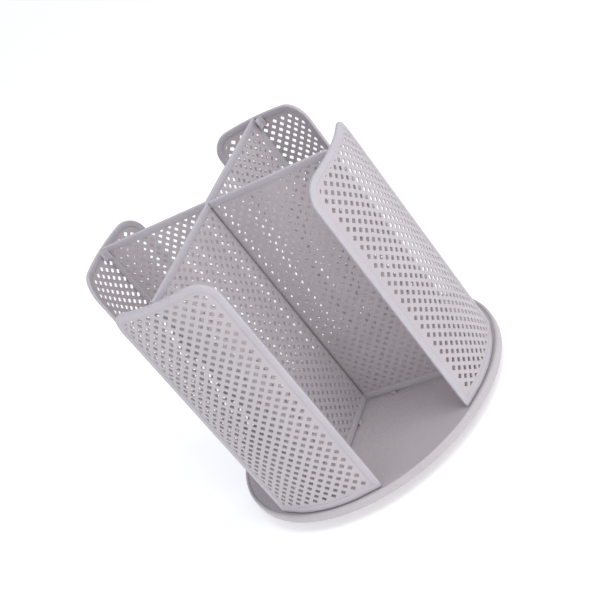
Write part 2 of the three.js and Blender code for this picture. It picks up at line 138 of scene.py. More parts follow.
# ---- Mesh helpers --------------------------------------------------------------------------
HIGHLIGHT_TURN = math.radians(30)  # a corner that turns outwards this much gets the full painted edge highlight
WELD = 2e-3  # points closer than this become one
LEAST_EDGE = 1e-3


def make_object(name, points, faces, material, sharp=35, merge=True, scale=MM):
    """An object from points in millimetres, with smooth faces and sharp edges where they turn."""
    mesh = bpy.data.meshes.new(name)
    mesh.from_pydata([tuple(np.asarray(p, float) * scale) for p in points], [], faces)
    bm = bmesh.new()
    bm.from_mesh(mesh)
    if merge:
        bmesh.ops.remove_doubles(bm, verts=bm.verts, dist=WELD * scale)
    bmesh.ops.dissolve_degenerate(bm, edges=bm.edges, dist=LEAST_EDGE * scale)
    bmesh.ops.recalc_face_normals(bm, faces=bm.faces)
    limit = math.radians(sharp)
    for face in bm.faces:
        face.smooth = True
    for edge in bm.edges:
        edge.smooth = edge.is_manifold and edge.calc_face_angle(0) < limit
    # How far each point's corner turns outwards; the materials paint a lighter edge highlight there.
    turns = [max((e.calc_face_angle_signed(0) for e in v.link_edges), default=0) for v in bm.verts]
    highlight_share = [max(0.0, min(1.0, turn / HIGHLIGHT_TURN)) for turn in turns]
    bm.to_mesh(mesh)
    bm.free()
    mesh.attributes.new("edge", "FLOAT", "POINT").data.foreach_set("value", highlight_share)
    mesh.materials.append(material)
    obj = bpy.data.objects.new(name, mesh)
    bpy.context.scene.collection.objects.link(obj)
    return obj


def settle(obj, body, slot, *nodes):
    """Hands the piece to its CAD body and hides the nodes it stands for; slot is not used."""
    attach(obj, body)
    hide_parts(*nodes)
    return obj


def turned_point(p, angle):
    c, s = math.cos(angle), math.sin(angle)
    return (c * p[0] - s * p[1], s * p[0] + c * p[1], p[2])


def arc(cx, cy, radius, start, end, steps):
    """Points on a circle from start to end, in degrees."""
    angles = [math.radians(start + (end - start) * i / steps) for i in range(steps + 1)]
    return [(cx + radius * math.cos(a), cy + radius * math.sin(a)) for a in angles]

def circle(radius, count, cx=0.0, cy=0.0):
    angles = [2 * math.pi * i / count for i in range(count)]
    return [(cx + radius * math.cos(a), cy + radius * math.sin(a)) for a in angles]


def moved(points, dx, dy, dz=0.0):
    return [(x + dx, y + dy, z + dz) for x, y, z in points]


def ring_faces(levels, count, closed=False):
    """Quads between levels of count points each, and from the last level to the first if closed."""
    faces = []
    for k in range(levels if closed else levels - 1):
        m = (k + 1) % levels
        for i in range(count):
            j = (i + 1) % count
            faces.append([k * count + i, k * count + j, m * count + j, m * count + i])
    return faces


def upright_wall(loop, low, high):
    """Points and faces of the wall that stands on a loop."""
    points = [(x, y, low) for x, y in loop] + [(x, y, high) for x, y in loop]
    return points, ring_faces(2, len(loop))


def cut_sheet(loops, extra=()):
    """Points and triangles of a flat sheet. The first loop is its edge and the others are holes."""
    coords, rings = [], []
    for loop in loops:
        rings.append(list(range(len(coords), len(coords) + len(loop))))
        coords.extend(loop)
    coords.extend(extra)
    found = delaunay_2d_cdt([Vector(c) for c in coords], [], rings, 1, 1e-6, True)
    triangles = [list(t) for t, of in zip(found[2], found[5]) if list(of) == [0]]
    flat = [tuple(coords[olds[0]]) if olds else tuple(v) for v, olds in zip(found[0], found[3])]
    return flat, triangles


def lathe(profile, segments, closed=True):
    """Points and faces of a turned profile of radius and height pairs."""
    points, rows = [], []
    for r, z in profile:
        if r < 1e-6:  # on the axis
            rows.append([len(points)] * segments)
            points.append((0, 0, z))
            continue
        row = []
        for i in range(segments):
            a = 2 * math.pi * i / segments
            row.append(len(points))
            points.append((r * math.cos(a), r * math.sin(a), z))
        rows.append(row)
    faces = []
    count = len(rows) if closed else len(rows) - 1
    for k in range(count):
        one, two = rows[k], rows[(k + 1) % len(rows)]
        for i in range(segments):
            j = (i + 1) % segments
            face = [one[i], one[j], two[j], two[i]]
            face = [v for n, v in enumerate(face) if v not in face[:n]]
            if len(face) > 2:
                faces.append(face)
    return points, faces


def joined(*parts):
    """Several sets of points and faces as one."""
    points, faces = [], []
    for more_points, more_faces in parts:
        start = len(points)
        points += list(more_points)
        faces += [[i + start for i in f] for f in more_faces]
    return points, faces


# ---- Materials -----------------------------------------------------------------------------
def material(name, colour, roughness, grain, bump, metallic=0.0, variation=0.04,
             rough_spread=0.06, edge_highlight=None, blotch=40.0):
    """A finish with colour variation, a fine relief in the object's own coordinates and painted edge
    highlights.

    grain is the size of the relief, bump its height and blotch the size of the colour's patches, all
    in millimetres. edge_highlight is the lighter colour painted in patches on the edges that the
    mesh's
    edge attribute names: a painted highlight, broken up like light wear."""
    made = bpy.data.materials.new(name)
    made.use_nodes = True
    tree = made.node_tree
    nodes, links = tree.nodes, tree.links
    shader = nodes["Principled BSDF"]
    place = nodes.new("ShaderNodeTexCoord").outputs["Object"]

    def noise(size_mm, detail, roughness_of=0.5):
        n = nodes.new("ShaderNodeTexNoise")
        n.inputs["Scale"].default_value = 1 / (size_mm * MM)
        n.inputs["Detail"].default_value = detail
        n.inputs["Roughness"].default_value = roughness_of
        links.new(place, n.inputs["Vector"])
        return n.outputs["Fac"]

    def ramp(fac, stops):
        r = nodes.new("ShaderNodeValToRGB")
        while len(r.color_ramp.elements) < len(stops):
            r.color_ramp.elements.new(0.5)
        for element, (position, c) in zip(r.color_ramp.elements, stops):
            element.position = position
            element.color = (*c, 1)
        links.new(fac, r.inputs["Fac"])
        return r.outputs["Color"]

    def mapped(fac, low, high, to_low, to_high):
        m = nodes.new("ShaderNodeMapRange")
        sockets = ("From Min", "From Max", "To Min", "To Max")
        for socket, value in zip(sockets, (low, high, to_low, to_high)):
            m.inputs[socket].default_value = value
        links.new(fac, m.inputs["Value"])
        return m.outputs["Result"]

    def mixed(kind, fac, a, b):
        m = nodes.new("ShaderNodeMix")
        m.data_type = "RGBA"
        m.blend_type = kind
        for socket, value in ((m.inputs[0], fac), (m.inputs[6], a), (m.inputs[7], b)):
            if hasattr(value, "is_output"):
                links.new(value, socket)
            else:
                socket.default_value = value if isinstance(value, float) else (*value, 1)
        return m.outputs[2]

    darker = tuple(c * (1 - variation) for c in colour)
    lighter = tuple(min(1, c * (1 + variation)) for c in colour)
    colour_out = ramp(noise(blotch, 4), [(0.3, darker), (0.5, colour), (0.72, lighter)])
    speck = mapped(noise(grain * 0.5, 2), 0.35, 0.65, 0.0, 1.0)
    speck_colour = ramp(speck, [(0.0, (1 - variation * 0.8,) * 3), (1.0, (1, 1, 1))])
    colour_out = mixed("MULTIPLY", 1.0, colour_out, speck_colour)
    if edge_highlight is not None:
        # Painted highlight: a lighter colour, in patches like light wear, on the edges that turn
        # outwards.
        edge = nodes.new("ShaderNodeAttribute")
        edge.attribute_name = "edge"
        patchy = mapped(noise(2.2, 5, 0.7), 0.45, 0.68, 0.0, 1.0)
        share = nodes.new("ShaderNodeMath")
        share.operation = "MULTIPLY"
        links.new(edge.outputs["Fac"], share.inputs[0])
        links.new(patchy, share.inputs[1])
        colour_out = mixed("MIX", share.outputs[0], colour_out, edge_highlight)
    links.new(colour_out, shader.inputs["Base Color"])
    rough = mapped(noise(grain * 6, 3), 0.3, 0.7, roughness - rough_spread, roughness + rough_spread)
    links.new(rough, shader.inputs["Roughness"])
    shader.inputs["Metallic"].default_value = metallic
    relief = nodes.new("ShaderNodeBump")
    relief.inputs["Strength"].default_value = 1.0
    relief.inputs["Distance"].default_value = bump * MM
    links.new(noise(grain, 3, 0.55), relief.inputs["Height"])
    links.new(relief.outputs["Normal"], shader.inputs["Normal"])
    return made


mesh_paint = material("mesh_powder_coat", (0.52, 0.475, 0.486), 0.50, 0.7, 0.012)
# The rim and tray finishes paint their outward edges lighter, as a painted edge highlight.
rim_paint = material("rim_powder_coat", (0.512, 0.478, 0.505), 0.5, 0.8, 0.012,
                     edge_highlight=(0.61, 0.59, 0.63))
tray_paint = material("tray_powder_coat", (0.52, 0.476, 0.486), 0.44, 0.9, 0.012,
                      edge_highlight=(0.61, 0.58, 0.60))
foot_paint = material("foot_powder_coat", (0.50, 0.47, 0.49), 0.5, 0.9, 0.02)
zinc_plate = material("zinc_plated_steel", (0.62, 0.63, 0.64), 0.36, 1.6, 0.006,
                      metallic=1.0, blotch=9.0)
bearing_steel = material("polished_bearing_steel", (0.72, 0.72, 0.73), 0.14, 0.5, 0.001,
                         metallic=1.0, rough_spread=0.04, blotch=3.0)
nylon = material("natural_nylon", (0.80, 0.78, 0.72), 0.5, 1.2, 0.02, blotch=12.0)
rubber = material("black_rubber", (0.028, 0.028, 0.03), 0.8, 0.6, 0.05, variation=0.15, blotch=8.0)


# ---- Sheets and rims: places on a curved panel and on a V ------------------------------------
def on_panel(turn):
    """Places a point given along the arc, up and outwards on the panel turned by turn."""

    def place(s, z, n):
        a = s / PANEL_RADIUS
        r = PANEL_RADIUS + n
        return turned_point((r * math.cos(a), r * math.sin(a), z), turn)

    def normal(s):
        a = s / PANEL_RADIUS + turn
        return (math.cos(a), math.sin(a), 0)

    return place, normal


HUB_FACING = math.radians(225)  # from the bend's centre to the hub


def on_v(turn):
    """Places a point given along the V from its hub, up and towards the outside of the V."""
    half = bend_length / 2

    def place(s, z, n):
        if s > half:
            p = (bend_centre + s - half, wing_middle - n, z)
        elif s < -half:
            p = (wing_middle - n, bend_centre - s - half, z)
        else:
            a = HUB_FACING + s / BEND_RADIUS
            r = BEND_RADIUS + n
            p = (bend_centre + r * math.cos(a), bend_centre + r * math.sin(a), z)
        behind = (p[0] + p[1]) / 2  # the two Vs meet on the plane where this is zero
        if behind < HALF_SLIT:
            p = (p[0] - behind + HALF_SLIT, p[1] - behind + HALF_SLIT, z)
        return turned_point(p, turn)

    def normal(s):
        if s > half:
            v = (0, -1, 0)
        elif s < -half:
            v = (-1, 0, 0)
        else:
            a = HUB_FACING + s / BEND_RADIUS
            v = (math.cos(a), math.sin(a), 0)
        return turned_point(v, turn)

    return place, normal


def outline(half_width, low, high, inset, upper, lower, breaks=(), step=OUTLINE_STEP):
    """A rounded rectangle pulled in by inset, anticlockwise from its lower left corner.

    It always has the same number of points, and breaks are places along the width where its long
    edges need one. Without a step it has only its corners."""
    points = []

    def corner(x_sign, z_sign, radius, start):
        r = max(radius - inset, LEAST_RADIUS)
        x = x_sign * (half_width - inset - r)
        z = (high - inset - r) if z_sign > 0 else (low + inset + r)
        steps = max(3, int(round(radius / CORNER_STEP)))
        points.extend(arc(x, z, r, start, start + 90, steps))

    full = int(math.ceil((high - low) / step)) if step else 1
    wide = int(math.ceil(2 * half_width / step)) if step else 1
    # The points between the corners keep clear of them, whatever the inset is.
    spread = sorted({-half_width + 2 * half_width * i / wide for i in range(1, wide)} | set(breaks))
    spread = [s for s in spread if abs(s) < half_width - upper - CORNER_CLEAR]
    rise = [low + (high - low) * i / full for i in range(1, full)]
    lowest = low + max(lower, LEAST_CORNER) + RISE_CLEAR
    highest = high - max(upper, LEAST_CORNER) - RISE_CLEAR
    rise = [z for z in rise if lowest < z < highest]
    corner(-1, -1, lower, 180)
    points.extend((s, low + inset) for s in spread)
    corner(1, -1, lower, 270)
    points.extend((half_width - inset, z) for z in rise)
    corner(1, 1, upper, 0)
    points.extend((s, high - inset) for s in reversed(spread))
    corner(-1, 1, upper, 90)
    points.extend((-half_width + inset, z) for z in reversed(rise))
    return points


def clipped(polygon, convex):
    """The part of a convex polygon inside another, which runs anticlockwise."""
    out = polygon
    for i, (ax, ay) in enumerate(convex):
        bx, by = convex[(i + 1) % len(convex)]
        if (bx - ax) ** 2 + (by - ay) ** 2 < 1e-8:
            continue
        side = [(bx - ax) * (y - ay) - (by - ay) * (x - ax) for x, y in out]
        if min(side) >= 0:
            continue
        kept = []
        for j, p in enumerate(out):
            q, sp, sq = out[(j + 1) % len(out)], side[j], side[(j + 1) % len(out)]
            if sp >= 0:
                kept.append(p)
            if sp * sq < 0:
                t = sp / (sp - sq)
                kept.append((p[0] + t * (q[0] - p[0]), p[1] + t * (q[1] - p[1])))
        out = kept
        if len(out) < 3:
            return []
    clean = []
    for p in out:
        if not clean or math.dist(p, clean[-1]) > LEAST_SIDE:
            clean.append(p)
    if len(clean) > 2 and math.dist(clean[0], clean[-1]) <= LEAST_SIDE:
        clean.pop()
    return clean if len(clean) > 2 else []


def area(polygon):
    return sum(
        x * polygon[(i + 1) % len(polygon)][1] - polygon[(i + 1) % len(polygon)][0] * y
        for i, (x, y) in enumerate(polygon)
    ) / 2


def grown(polygon, by):
    """A convex polygon with each side moved out."""
    out = []
    for i, p in enumerate(polygon):
        a, b = polygon[i - 1], polygon[(i + 1) % len(polygon)]
        u = np.subtract(p, a) / math.dist(p, a)
        v = np.subtract(b, p) / math.dist(b, p)
        nu, nv = np.array((u[1], -u[0])), np.array((v[1], -v[0]))
        spread = max(0.4, 1 + nu @ nv)  # a sharp corner moves no further than this allows
        out.append(tuple(np.array(p) + by * (nu + nv) / spread))
    return out


def hole_grid(field, column, row, pitch, side):
    """Square holes on their corners in a field, with one hole's centre at column and row."""
    half_pitch = pitch / math.sqrt(2)
    reach = side / math.sqrt(2)
    cut = HOLE_ROUND / math.sqrt(2)
    shape = [(reach - cut, -cut), (reach - cut, cut), (cut, reach - cut), (-cut, reach - cut),
             (-reach + cut, cut), (-reach + cut, -cut), (-cut, -reach + cut), (cut, -reach + cut)]

    def numbers(places, start):
        """How many half pitches from start the holes that reach into the places stand."""
        first = math.ceil((min(places) - reach - start) / half_pitch)
        last = math.floor((max(places) + reach - start) / half_pitch)
        return range(first, last + 1)

    holes = []
    for i in numbers([p[0] for p in field], column):
        for j in numbers([p[1] for p in field], row):
            if (i + j) % 2:
                continue
            cx, cz = column + i * half_pitch, row + j * half_pitch
            hole = clipped([(cx + x, cz + z) for x, z in shape], field)
            if hole and area(hole) > LEAST_HOLE * area(shape):
                holes.append(hole)
    return holes


# The sheets' UV map: front face, back face, then the walls of the holes as small tiles.
UV_EDGE = 0.004
UV_FACE = 0.43
UV_BACK = 0.45
UV_WALLS = 0.905
UV_TILE, UV_TILE_GAP = (0.007, 0.002), 0.0085
UV_ROWS, UV_COLUMNS = 400, 10


def perforated(name, edge, holes, extra, place, normal, material_of):
    """A sheet with holes through it, each with a small chamfer.

    Its faces get the sheet's own normals, so that the curve is even."""
    wide = [grown(h, HOLE_CHAMFER) for h in holes]
    flat, triangles = cut_sheet([edge] + wide, extra)
    half = SHEET / 2
    points, faces, normals, uvs = [], [], [], []
    left, low = min(p[0] for p in edge), min(p[1] for p in edge)
    width, height = max(p[0] for p in edge) - left, max(p[1] for p in edge) - low

    def uv_of(p, back):
        u = UV_EDGE + UV_FACE * (p[0] - left) / width + (UV_BACK if back else 0)
        return (u, UV_EDGE + (1 - 2 * UV_EDGE) * (p[1] - low) / height)

    count = len(flat)
    for n in (half, -half):
        points.extend(place(s, z, n) for s, z in flat)
    norm_of = [normal(s) for s, _ in flat]
    for t in triangles:
        faces.append(t)
        normals.append([norm_of[v] for v in t])
        uvs.append([uv_of(flat[v], False) for v in t])
        back = t[::-1]
        faces.append([v + count for v in back])
        normals.append([tuple(-c for c in norm_of[v]) for v in back])
        uvs.append([uv_of(flat[v], True) for v in back])

    def wall(rings, number):
        """Quads between rings of points, which are (s, z, n) and run as the sheet's edge does. With
        more than two rings, the outer ones turn smoothly into the sheet's faces."""
        total, last = len(rings[0]), len(rings) - 1
        base = len(points)
        for ring in rings:
            points.extend(place(*p) for p in ring)
        for level in range(last):
            for k in range(total):
                m = (k + 1) % total
                corners = [(level, k), (level + 1, k), (level + 1, m), (level, m)]
                face = [base + ring * total + i for ring, i in corners]
                pa, pb, pc = (np.array(points[i]) for i in face[:3])
                wall_normal = np.cross(pb - pa, pc - pb)
                length = np.linalg.norm(wall_normal)
                wall_normal = wall_normal / length if length > 1e-12 else np.array(norm_of[0])
                chosen = []
                for ring, i in corners:
                    if last > 1 and ring in (0, last):
                        outwards = 1 if ring == 0 else -1
                        chosen.append(tuple(np.array(normal(rings[ring][i][0])) * outwards))
                    else:
                        chosen.append(tuple(wall_normal))
                faces.append(face)
                normals.append(chosen)
                u, v = UV_WALLS + UV_TILE_GAP * (k % UV_COLUMNS), (number % UV_ROWS) / UV_ROWS
                far_u, far_v = u + UV_TILE[0], v + UV_TILE[1]
                uvs.append([(u, v), (u, far_v), (far_u, far_v), (far_u, v)])

    wall([[(s, z, n) for s, z in edge] for n in (half, -half)], 0)
    inner = half - HOLE_CHAMFER
    for number, (hole, big) in enumerate(zip(holes, wide)):
        # A hole's walls face into it, so its rings run the other way round.
        one, two = big[::-1], hole[::-1]
        levels = ((one, half), (two, inner), (two, -inner), (one, -half))
        wall([[(s, z, n) for s, z in ring] for ring, n in levels], number + 1)

    # The faces and the walls share their places, so they are welded into one closed sheet.
    first, kept, index_of = {}, [], []
    for p in points:
        key = tuple(round(c, 5) for c in p)
        if key not in first:
            first[key] = len(kept)
            kept.append(tuple(c * MM for c in p))
        index_of.append(first[key])
    welded = [[index_of[i] for i in f] for f in faces]
    whole = [k for k, f in enumerate(welded) if len(set(f)) == len(f)]
    mesh = bpy.data.meshes.new(name)
    mesh.from_pydata(kept, [], [welded[k] for k in whole])
    for face in mesh.polygons:
        face.use_smooth = True
    layer = mesh.uv_layers.new(name="OFBake")
    flat_uv = np.array([c for k in whole for c in uvs[k]], np.float32)
    layer.data.foreach_set("uv", flat_uv.ravel())
    mesh.normals_split_custom_set([n for k in whole for n in normals[k]])
    mesh.materials.append(material_of)
    obj = bpy.data.objects.new(name, mesh)
    bpy.context.scene.collection.objects.link(obj)
    return obj


def rim_profile():
    """The hem's section as pairs of inset from its outside and distance from the sheet's middle."""
    half = RIM_THICK / 2
    lip = SHEET / 2 + RIM_LIP
    on_sheet = SHEET / 2 + 0.02
    front = arc(RIM_ROUND, half - RIM_ROUND, RIM_ROUND, 180, 90, 6)
    front += [(1.5, half), (2.3, half - 0.03)]  # flat, then the slope down to the lip
    front += [(RIM_DEPTH - 0.85, lip + 0.1), (RIM_DEPTH - 0.35, lip)]
    front += [(RIM_DEPTH - 0.1, lip - 0.1), (RIM_DEPTH, lip - 0.24)]
    front += [(RIM_DEPTH, on_sheet), (RIM_BACK, on_sheet)]
    back = [(u, -n) for u, n in reversed(front)]
    return front + back


def swept_rim(name, half_width, low, high, upper, lower, place, material_of, breaks=()):
    section = rim_profile()
    rings = [outline(half_width, low, high, u, upper, lower, breaks) for u, _ in section]
    points = [place(s, z, n) for ring, (_, n) in zip(rings, section) for s, z in ring]
    faces = ring_faces(len(section), len(rings[0]), closed=True)
    return make_object(name, points, faces, material_of, sharp=50, merge=False)


def panel(index):
    side = SIDES[index]
    place, normal = on_panel(index * QUARTER + PANEL_SHIFT.get(side, 0.0) / PANEL_RADIUS)
    half = PANEL_RADIUS * PANEL_HALF
    low, high = rim_low.z, rim_high.z
    edge = outline(half, low, high, RIM_BACK, PANEL_CORNER, LOWER_CORNER)
    extra = PANEL_EXTRA.get(side, 0.0) / 2
    field = outline(half - extra, low, high, FIELD_MARGIN, PANEL_CORNER, LOWER_CORNER, step=None)
    field = [(s + extra, z) for s, z in field]
    column, rise = PANEL_PHASE[side]
    holes = hole_grid(field, column, (low + high) / 2 + rise, PANEL_PITCH, PANEL_HOLE)
    sheet = perforated(f"panel_mesh_{side}", edge, holes, [], place, normal, mesh_paint)
    settle(sheet, "carousel", "mesh_paint", f"panel_sheet_{side}")
    rim = swept_rim(f"panel_hem_{side}", half, low, high, PANEL_CORNER, LOWER_CORNER,
                    place, rim_paint)
    settle(rim, "carousel", "rim_paint", f"panel_rim_{side}")


def divider(index):
    corner, turn = CORNERS[index], index * 2 * QUARTER
    place, normal = on_v(turn)
    low, high = v_low.z + DIVIDER_LIFT, v_high.z
    half_bend = bend_length / 2
    bends = [half_bend * k / BEND_STEPS for k in range(-BEND_STEPS, BEND_STEPS + 1)]
    edge = outline(WING_LENGTH, low, high, RIM_BACK, DIVIDER_CORNER, DIVIDER_CORNER, bends)
    middle = (v_low.z + v_high.z) / 2
    to_hub = half_bend - bend_centre  # from a distance off the axis to one along the V
    near, far = HUB_MARGIN + to_hub, WING_LENGTH - DIVIDER_MARGIN
    base, top = low + DIVIDER_MARGIN, high - DIVIDER_MARGIN
    wing = [(near, base), (far, base), (far, top), (near, top)]
    holes = []
    for sign, (column, rise) in zip((1, -1), WING_PHASE[corner]):
        found = hole_grid(wing, column + to_hub, middle + rise, DIVIDER_PITCH, DIVIDER_HOLE)
        holes += [[(sign * s, z) for s, z in (h if sign > 0 else reversed(h))] for h in found]
    extra = []  # points that keep the bend round between the rows of holes
    rows = int((high - low) / HUB_ROW)
    for k in range(1, rows):
        z = low + (high - low) * k / rows
        if low + RIM_BACK + HUB_ROW_CLEAR < z < high - RIM_BACK - HUB_ROW_CLEAR:
            extra += [(s, z) for s in bends]
    sheet = perforated(f"divider_mesh_{corner}", edge, holes, extra, place, normal, mesh_paint)
    settle(sheet, "carousel", "mesh_paint", f"divider_sheet_{corner}")
    rim = swept_rim(f"divider_hem_{corner}", WING_LENGTH, low, high, DIVIDER_CORNER, DIVIDER_CORNER,
                    place, rim_paint, bends)
    settle(rim, "carousel", "rim_paint", f"divider_rim_{corner}")


for index in range(4):
    panel(index)
for index in range(2):
    divider(index)


# ---- Small tabs and clips --------------------------------------------------------------------
TRIM_ROUND = 0.22
TAB_REACH = 3.4  # along the panel, from the hem's face
TAB_GRIP = 5.0  # along the divider
TAB_THICK = 0.8
TAB_CLEAR = 0.05  # between the hem and the tab
TAB_END = WING_END + 0.35
CLIP_DISTANCE = 23.0  # from the turning axis
CLIP_WIDTH = 3.2
CLIP_THICK = 0.9
CLIP_CLEAR = 0.1
CLIP_FLOOR = 0.8
SLOT_NEAR, SLOT_FAR = 1.05, 2.3  # a clip's slots in the tray, from the wing's middle plane
SLOT_CLEAR = 0.2


def bar(name, section, low, high, to_frame, material_of):
    """A strip with a polygonal section, with rounded edges."""
    points = [to_frame(x, y, low) for x, y in section] + [to_frame(x, y, high) for x, y in section]
    n = len(section)
    faces = [list(range(n)), list(range(n, 2 * n))] + ring_faces(2, n)
    obj = make_object(name, points, faces, material_of)
    bevel = obj.modifiers.new("rounded", "BEVEL")
    bevel.width = TRIM_ROUND * MM
    bevel.segments = 3
    bevel.limit_method = "ANGLE"
    bevel.angle_limit = math.radians(30)
    bpy.context.view_layer.update()
    evaluated = obj.evaluated_get(bpy.context.evaluated_depsgraph_get())
    mesh = bpy.data.meshes.new_from_object(evaluated)
    obj.modifiers.clear()
    obj.data = mesh
    bm = bmesh.new()
    bm.from_mesh(mesh)
    for face in bm.faces:
        face.smooth = True
    for edge in bm.edges:
        edge.smooth = edge.calc_face_angle(0) < math.radians(50)
    bm.to_mesh(mesh)
    bm.free()
    return obj


def corner_tab(index):
    side, turn, sign = SIDES[index], index * QUARTER, WING_SIDE[index]
    low, high = box_mm(f"panel_tab_{side}")
    face = sign * wing_middle + RIM_THICK / 2 + TAB_CLEAR
    end, out = TAB_END, face + TAB_REACH
    lean = end - math.sqrt(end**2 - out**2)  # follows the panel
    section = [(end - TAB_GRIP, face), (end, face), (end - lean, out), (end - lean - TAB_THICK, out),
               (end - TAB_THICK - 0.02, face + TAB_THICK), (end - TAB_GRIP, face + TAB_THICK)]

    def to_frame(x, y, z):
        return turned_point((x, sign * y, z), turn)

    tab = bar(f"corner_tab_{side}", section, low.z, high.z, to_frame, rim_paint)
    settle(tab, "carousel", "rim_paint", f"panel_tab_{side}")


def foot_clip(index):
    side, turn = SIDES[index], index * QUARTER
    low, high = box_mm(f"floor_clip_{side}")
    middle = WING_SIDE[index] * wing_middle
    ear = RIM_THICK / 2 + CLIP_CLEAR
    outside = ear + CLIP_THICK
    base, floor_top = low.z, low.z + CLIP_FLOOR
    section = [(middle - outside, base), (middle + outside, base), (middle + outside, high.z),
               (middle + ear, high.z), (middle + ear, floor_top), (middle - ear, floor_top),
               (middle - ear, high.z), (middle - outside, high.z)]

    def to_frame(x, y, z):
        return turned_point((z, x, y), turn)

    clip = bar(f"foot_clip_{side}", section, CLIP_DISTANCE - CLIP_WIDTH / 2,
               CLIP_DISTANCE + CLIP_WIDTH / 2, to_frame, rim_paint)
    settle(clip, "carousel", "rim_paint", f"floor_clip_{side}")


for index in range(4):
    corner_tab(index)
for index in range(4):
    foot_clip(index)


# ---- Tray ------------------------------------------------------------------------------------
def tray_slots():
    slots = []
    half = CLIP_WIDTH / 2 + SLOT_CLEAR
    for index in range(4):
        middle = WING_SIDE[index] * wing_middle
        for near, far in ((SLOT_NEAR, SLOT_FAR), (-SLOT_FAR, -SLOT_NEAR)):
            corners = [(CLIP_DISTANCE - half, middle + near), (CLIP_DISTANCE + half, middle + near),
                       (CLIP_DISTANCE + half, middle + far), (CLIP_DISTANCE - half, middle + far)]
            slots.append([turned_point((x, y, 0), index * QUARTER)[:2] for x, y in corners])
    return slots


def tray():
    slots = tray_slots()
    inner = TRAY_RADIUS - 2.9  # where the floor turns up to the crown
    under = TRAY_RADIUS - 1.8  # where its underside turns down into the rim
    foot, crown = tray_low.z, tray_high.z
    wide, tall = 1.35, 1.5  # the crown's outer round, an ellipse
    profile = [(inner, tray_top)]
    profile += [(inner + u, tray_top + z) for u, z in ((0.35, 0.06), (0.6, 0.25), (0.8, 0.62))]
    profile += [(inner + u, crown - z) for u, z in ((1.0, 0.1), (1.25, 0.02), (1.55, 0.0))]
    for k in range(1, 9):
        a = QUARTER * k / 8
        profile.append((TRAY_RADIUS - wide + wide * math.sin(a), crown - tall + tall * math.cos(a)))
    profile += [(TRAY_RADIUS, foot + 0.5)]
    profile += arc(TRAY_RADIUS - 0.5, foot + 0.5, 0.5, 0, -90, 5)[1:]
    profile += arc(TRAY_RADIUS - 0.8, foot + 0.4, 0.4, 270, 180, 4)
    profile += [(TRAY_RADIUS - TRAY_PLATE, tray_under - 0.6), (TRAY_RADIUS - 1.4, tray_under - 0.2),
                (under, tray_under)]
    parts = [lathe(profile, TRAY_SEGMENTS, closed=False)]
    for radius, level in ((inner, tray_top), (under, tray_under)):
        flat, triangles = cut_sheet([circle(radius, TRAY_SEGMENTS)] + slots)
        parts.append(([(x, y, level) for x, y in flat], triangles))
    parts += [upright_wall(slot, tray_top, tray_under) for slot in slots]
    points, faces = joined(*parts)
    obj = make_object("tray_disc", points, faces, tray_paint, sharp=38)
    settle(obj, "carousel", "tray_paint", "tray")


tray()


# ---- Turntable bearing -----------------------------------------------------------------------
BALLS = 12
BALL_RADIUS = 2.5
TRACK_RADIUS = 46.0
TRACK_CLEAR = 0.1
RACE_INNER, RACE_OUTER = 40.0, 52.0
RACE_BEVEL = 0.35
CAGE_HALF = 4.2  # half the width of the cage's ring
CAGE_CLEAR = 0.2
ball_level = (box_mm("bearing_ball_1")[0].z + box_mm("bearing_ball_1")[1].z) / 2


def race(name, node, body, groove_up):
    low, high = box_mm(node)
    groove = BALL_RADIUS + TRACK_CLEAR
    face, back = (high.z, low.z) if groove_up else (low.z, high.z)
    sign = 1 if groove_up else -1
    half_turn = math.acos(abs(face - ball_level) / groove)
    edge, far_edge = RACE_INNER + RACE_BEVEL, RACE_OUTER - RACE_BEVEL
    near_back, near_face = back + sign * RACE_BEVEL, face - sign * RACE_BEVEL
    profile = [(RACE_INNER, near_back), (RACE_INNER, near_face), (edge, face)]
    for k in range(13):
        a = half_turn * (k - 6) / 6
        drop = groove * math.cos(a)
        profile.append((TRACK_RADIUS + groove * math.sin(a), ball_level - sign * drop))
    profile += [(far_edge, face), (RACE_OUTER, near_face), (RACE_OUTER, near_back),
                (far_edge, back), (edge, back)]
    points, faces = lathe(profile, 144)
    obj = make_object(name, points, faces, zinc_plate, sharp=28)
    settle(obj, body, "zinc_plate", node)


race("race_ring_upper", "bearing_race_upper", "carousel", False)
race("race_ring_lower", "bearing_race_lower", "foot", True)


def ball_place(number):
    a = 2 * math.pi * number / BALLS
    return TRACK_RADIUS * math.cos(a), TRACK_RADIUS * math.sin(a)


def cage():
    low, high = box_mm("ball_cage")
    loops = [circle(TRACK_RADIUS + CAGE_HALF, 144), circle(TRACK_RADIUS - CAGE_HALF, 144)]
    loops += [circle(BALL_RADIUS + CAGE_CLEAR, 28, *ball_place(k)) for k in range(BALLS)]
    flat, triangles = cut_sheet(loops)
    parts = [([(x, y, level) for x, y in flat], triangles) for level in (low.z, high.z)]
    parts += [upright_wall(loop, low.z, high.z) for loop in loops]
    points, faces = joined(*parts)
    obj = make_object("cage_ring", points, faces, nylon, sharp=38)
    settle(obj, "ball_cage", "nylon", "ball_cage")


cage()

half_circle = [(BALL_RADIUS * math.sin(math.pi * i / 16), -BALL_RADIUS * math.cos(math.pi * i / 16))
               for i in range(17)]
half_circle[0], half_circle[-1] = (0, -BALL_RADIUS), (0, BALL_RADIUS)
for k in range(BALLS):
    points, faces = lathe(half_circle, 32, closed=False)
    points = moved(points, *ball_place(k), ball_level)
    ball = make_object(f"steel_ball_{k + 1}", points, faces, bearing_steel)
    settle(ball, "ball_cage", "bearing_steel", f"bearing_ball_{k + 1}")


# ---- Foot ------------------------------------------------------------------------------------
FOOT_PLATE = 1.2
FOOT_BORE = 4.75
RACE_CLEAR = 0.3  # between the lower race and the foot plate
RIVET_HEAD = 2.8
RIVET_SHANK = 1.5
foot_low, foot_high = box_mm("foot_plate")
FOOT_RADIUS = foot_high.x
boss_top = foot_high.z
boss_under = boss_top - FOOT_PLATE
foot_top = box_mm("bearing_race_lower")[0].z - RACE_CLEAR
foot_under = foot_top - FOOT_PLATE


